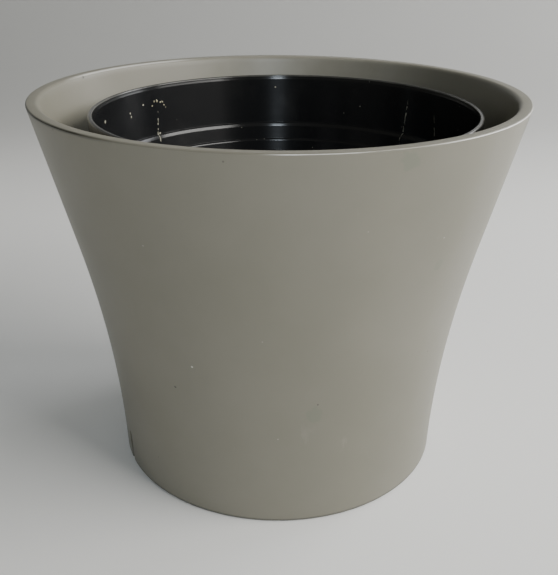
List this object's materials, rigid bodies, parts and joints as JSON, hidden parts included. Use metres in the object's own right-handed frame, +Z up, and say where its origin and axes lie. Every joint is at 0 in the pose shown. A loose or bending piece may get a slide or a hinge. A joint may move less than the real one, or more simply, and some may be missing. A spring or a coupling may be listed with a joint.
{
  "type": "self-watering planter",
  "caption": "Round flared planter: satin casing with a raised floor, lift-out black liner with a water reservoir, perforated separator on wicking cups, filling shaft, float gauge, drain plug.",
  "frame": {"origin": "middle of the foot ring, on the plane that the planter stands on", "axes": "+Z up along the casing's axis; the filling shaft stands on the -Y side of the liner; +X to the right seen from -Y"},
  "size_m": [0.2482, 0.2482, 0.2],
  "materials": {
    "casing_taupe": "smooth satin taupe, fine moulded skin",
    "plug_black": "fine spark-eroded black",
    "seal_rubber": "soft dull black",
    "liner_black": "glossy near-black, faint moulding rings",
    "insert_black": "semi-matt black",
    "gauge_clear": "clear polished plastic",
    "float_white": "off-white beaded foam",
    "stem_white": "smooth white",
    "pointer_red": "bright red"
  },
  "bodies": {
    "casing": {"outer_pot": "casing_taupe"},
    "plug": {"drain_plug": "plug_black", "drain_plug_seal": "seal_rubber"},
    "liner": {"liner_pot": "liner_black", "overflow_pipe": "insert_black", "overflow_seal": "seal_rubber", "overflow_nut": "insert_black", "overflow_strainer": "insert_black"},
    "insert": {"separator_plate": "insert_black", "wick_cup_1": "insert_black", "wick_cup_2": "insert_black", "wick_cup_3": "insert_black", "water_shaft": "insert_black"},
    "gauge": {"shaft_head": "insert_black", "gauge_tube": "gauge_clear", "gauge_cap": "gauge_clear", "stem_guide": "insert_black"},
    "float": {"float_body": "float_white", "float_stem": "stem_white", "float_pointer": "pointer_red"}
  },
  "joints": [
    {"name": "liner_lift", "type": "slide", "parent": "casing", "child": "liner", "axis": [0, 0, 1], "range_m": [0, 0.18]},
    {"name": "insert_lift", "type": "slide", "parent": "liner", "child": "insert", "axis": [0, 0, 1], "range_m": [0, 0.16]},
    {"name": "gauge_lift", "type": "slide", "parent": "insert", "child": "gauge", "axis": [0, 0, 1], "range_m": [0, 0.13]},
    {"name": "float_rise", "type": "slide", "parent": "gauge", "child": "float", "axis": [0, 0, 1], "range_m": [0, 0.026]},
    {"name": "plug_turn", "type": "hinge", "parent": "casing", "child": "plug", "pos_m": [0, 0, 0.014], "axis": [0, 0, 1], "range_deg": [0, 90]}
  ]
}
